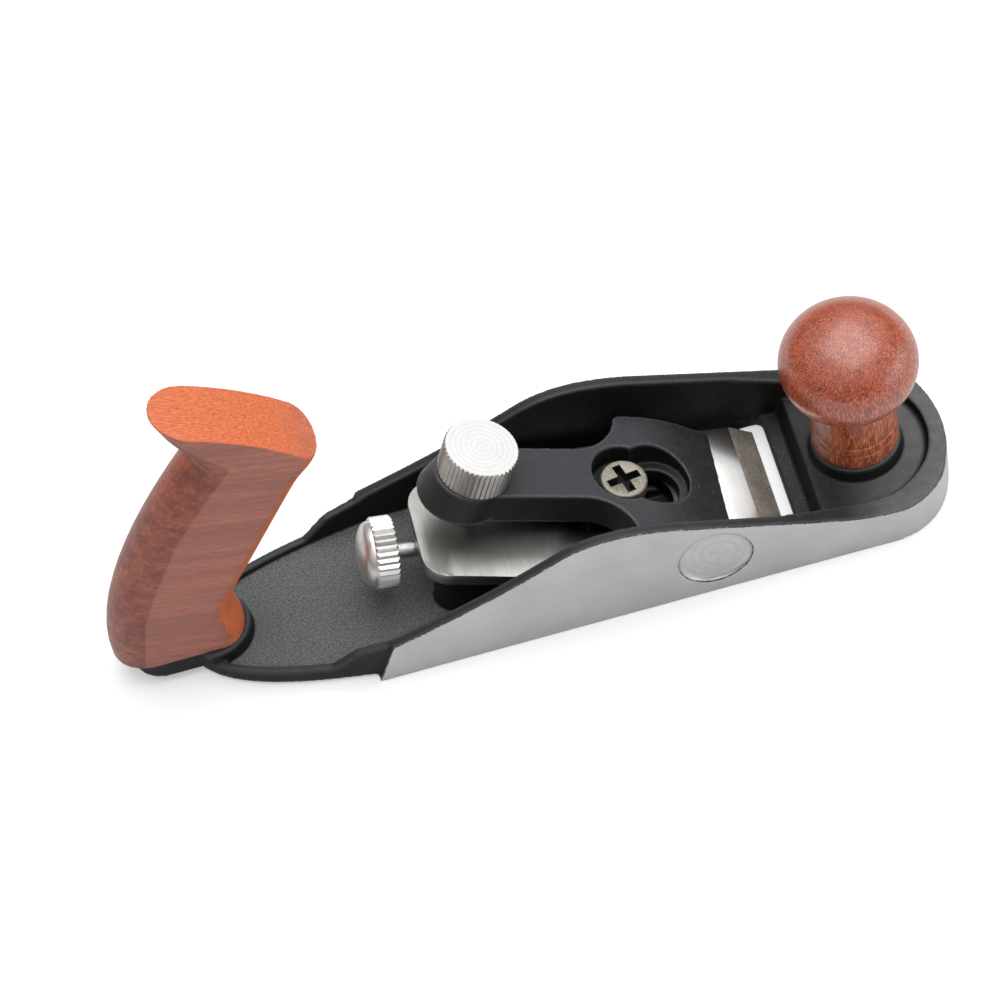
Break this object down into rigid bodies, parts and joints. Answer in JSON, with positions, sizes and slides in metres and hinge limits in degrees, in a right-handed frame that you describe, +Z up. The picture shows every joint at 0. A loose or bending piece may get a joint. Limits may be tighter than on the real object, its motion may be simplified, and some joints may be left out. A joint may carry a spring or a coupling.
{
  "type": "bench plane",
  "caption": "Small low-angle bench plane for smoothing and trimming wood, with an adjustable blade under a lever cap, a ball front knob and a horned rear handle.",
  "frame": {"origin": "on the sole, on the centre line, at the front edge of the mouth", "axes": "+X points to the toe, +Z points up from the sole, +Y to the left side seen from behind"},
  "size_m": [0.1807, 0.042, 0.079],
  "materials": {
    "enamelled_casting": "black enamel, with bright ground sole and sides",
    "enamelled_cap": "smooth satin black",
    "blade_steel": "fine ground, lengthwise",
    "bright_steel": "bright, softly brushed",
    "screw_steel": "matte",
    "adjuster_brass": "machined",
    "spring_steel": "dark, oiled",
    "handle_wood": "reddish brown, satin varnish"
  },
  "bodies": {
    "casting": {"body_casting": "enamelled_casting", "cap_screw": "screw_steel", "front_knob": "handle_wood", "knob_insert": "adjuster_brass", "knob_screw": "screw_steel", "tote": "handle_wood", "tote_insert_front": "adjuster_brass", "tote_insert_rear": "adjuster_brass", "tote_screw_front": "screw_steel", "tote_screw_rear": "screw_steel"},
    "pivot": {"adjuster_pivot": "adjuster_brass"},
    "iron": {"blade": "blade_steel", "blade_carrier": "adjuster_brass"},
    "depth_screw": {"depth_knob": "bright_steel", "adjuster_spindle": "screw_steel", "carrier_clip": "spring_steel"},
    "cap": {"lever_cap": "enamelled_cap"},
    "wheel": {"cap_wheel": "bright_steel", "cap_wheel_screw": "screw_steel"}
  },
  "joints": [
    {"name": "lateral_adjust", "type": "hinge", "parent": "casting", "child": "pivot", "pos_m": [-0.06412, 0, 0.0133], "axis": [0.2079, 0, 0.9781], "range_deg": [-1.2, 1.2]},
    {"name": "blade_feed", "type": "slide", "parent": "pivot", "child": "iron", "axis": [0.9781, 0, -0.2079], "range_m": [-0.002, 0.002]},
    {"name": "depth_turn", "type": "hinge", "parent": "iron", "child": "depth_screw", "pos_m": [-0.08503, 0, 0.01498], "axis": [0.9781, 0, -0.2079], "range_deg": [-900, 900]},
    {"name": "cap_slide", "type": "slide", "parent": "casting", "child": "cap", "axis": [-0.9765, 0.0576, 0.2076], "range_m": [0, 0.0066]},
    {"name": "wheel_turn", "type": "hinge", "parent": "cap", "child": "wheel", "pos_m": [-0.06278, 0.00184, 0.03138], "axis": [0.3581, -0.009, 0.9336], "range_deg": [0, 720]}
  ],
  "couplings": [
    {"joint": "depth_turn", "follows": "blade_feed", "rad_per_m": 7853.9}
  ]
}
